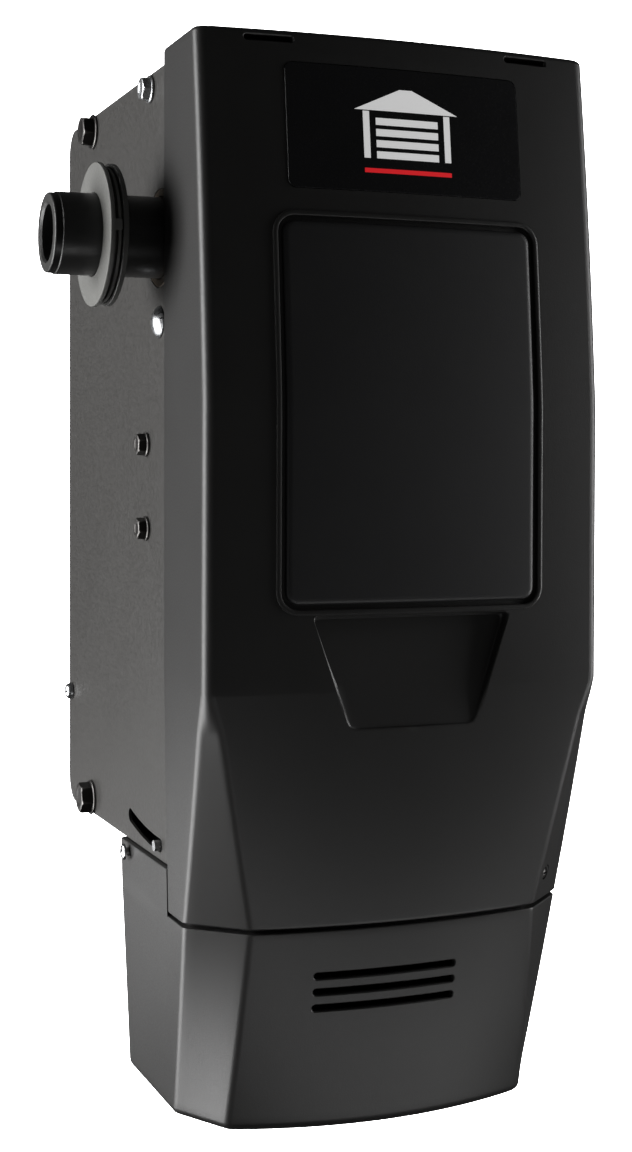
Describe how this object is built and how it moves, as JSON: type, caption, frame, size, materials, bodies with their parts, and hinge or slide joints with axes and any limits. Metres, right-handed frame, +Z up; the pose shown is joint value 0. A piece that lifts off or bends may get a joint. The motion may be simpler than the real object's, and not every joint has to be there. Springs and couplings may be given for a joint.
{
  "type": "garage door opener",
  "caption": "Wall-mounted garage door opener with a moulded cover, a hollow drive sleeve through its chassis, a worm drive and a hand release.",
  "frame": {"origin": "on the chassis's wall face, on the centre plane between the side plates, level with the drive sleeve's axis", "axes": "+Z up, +Y towards the wall, +X to the right seen from the front; the sleeve runs along X and its collar is on the -X side"},
  "size_m": [0.2428, 0.2648, 0.4878],
  "materials": {
    "cover_plastic": "satin moulded charcoal",
    "panel_plastic": "satin moulded black",
    "label_plastic": "glossy black with a printed pictogram",
    "painted_steel": "satin warm grey paint on sheet steel",
    "black_steel": "black phosphate and oil",
    "zinc": "bright zinc plate",
    "dark_bolt": "black oxide",
    "white_nylon": "natural white nylon",
    "rubber": "matt black rubber",
    "bronze": "machined bronze",
    "bare_steel": "machined steel",
    "board": "green solder mask",
    "terminal_plastic": "grey moulded",
    "yellow_button": "yellow moulded",
    "grey_button": "grey moulded",
    "lens": "amber lens"
  },
  "bodies": {
    "housing": {"main_cover": "cover_plastic", "front_panel": "panel_plastic", "badge_plate": "label_plastic", "lower_cover": "cover_plastic", "chassis_left_plate": "painted_steel", "chassis_right_plate": "painted_steel", "chassis_back_plate": "painted_steel", "chassis_top_plate": "painted_steel", "chassis_bottom_plate": "painted_steel", "left_upper_front_bolt": "zinc", "left_upper_rear_bolt": "dark_bolt", "left_lower_rear_bolt": "dark_bolt", "left_bracket_bolt_upper": "dark_bolt", "left_bracket_bolt_lower": "dark_bolt", "left_rear_screw": "zinc", "left_cover_screw": "zinc", "right_upper_front_bolt": "zinc", "right_upper_rear_bolt": "dark_bolt", "right_lower_rear_bolt": "dark_bolt", "right_bracket_bolt_upper": "dark_bolt", "right_bracket_bolt_lower": "dark_bolt", "right_rear_screw": "zinc", "right_cover_screw": "zinc", "front_screw": "dark_bolt", "left_bearing": "bronze", "right_bearing": "bronze", "release_stud": "zinc", "motor_can": "bare_steel", "motor_end_cap": "black_steel", "motor_shelf": "zinc", "worm_support": "zinc", "circuit_board": "board", "terminal_block": "terminal_plastic", "transformer": "bare_steel", "inlet_bush": "rubber", "status_lens": "lens"},
    "sleeve": {"drive_sleeve": "black_steel", "collar_ring": "white_nylon", "collar_washer": "rubber", "wheel_retainer": "bare_steel"},
    "wheel": {"worm_wheel": "bronze"},
    "worm": {"worm_shaft": "bare_steel", "encoder_disc": "rubber"},
    "dog": {"clutch_dog": "bare_steel"},
    "fork": {"shift_fork": "bare_steel"},
    "lever": {"release_lever": "zinc"},
    "button_1": {"program_button_1": "yellow_button"},
    "button_2": {"program_button_2": "grey_button"},
    "button_3": {"program_button_3": "grey_button"}
  },
  "joints": [
    {"name": "sleeve_spin", "type": "hinge", "parent": "housing", "child": "sleeve", "pos_m": [0, -0.177, 0], "axis": [1, 0, 0], "continuous": true},
    {"name": "wheel_spin", "type": "hinge", "parent": "housing", "child": "wheel", "pos_m": [0.01, -0.177, 0], "axis": [1, 0, 0], "continuous": true},
    {"name": "worm_spin", "type": "hinge", "parent": "housing", "child": "worm", "pos_m": [0.01, -0.121, 0], "axis": [0, 0, 1], "continuous": true},
    {"name": "lever_swing", "type": "hinge", "parent": "housing", "child": "lever", "pos_m": [-0.085, -0.177, -0.039], "axis": [1, 0, 0], "range_deg": [0, 12]},
    {"name": "fork_slide", "type": "slide", "parent": "housing", "child": "fork", "axis": [-1, 0, 0], "range_m": [0, 0.0046]},
    {"name": "dog_slide", "type": "slide", "parent": "sleeve", "child": "dog", "axis": [-1, 0, 0], "range_m": [0, 0.0046]},
    {"name": "button_1_press", "type": "slide", "parent": "housing", "child": "button_1", "axis": [0, 0, 1], "range_m": [0, 0.001], "stiffness_N_per_m": 400},
    {"name": "button_2_press", "type": "slide", "parent": "housing", "child": "button_2", "axis": [0, 0, 1], "range_m": [0, 0.001], "stiffness_N_per_m": 400},
    {"name": "button_3_press", "type": "slide", "parent": "housing", "child": "button_3", "axis": [0, 0, 1], "range_m": [0, 0.001], "stiffness_N_per_m": 400}
  ],
  "couplings": [
    {"joint": "wheel_spin", "follows": "sleeve_spin", "ratio": 1},
    {"joint": "worm_spin", "follows": "sleeve_spin", "ratio": -45},
    {"joint": "fork_slide", "follows": "lever_swing", "m_per_rad": 0.02196},
    {"joint": "dog_slide", "follows": "lever_swing", "m_per_rad": 0.02196}
  ]
}
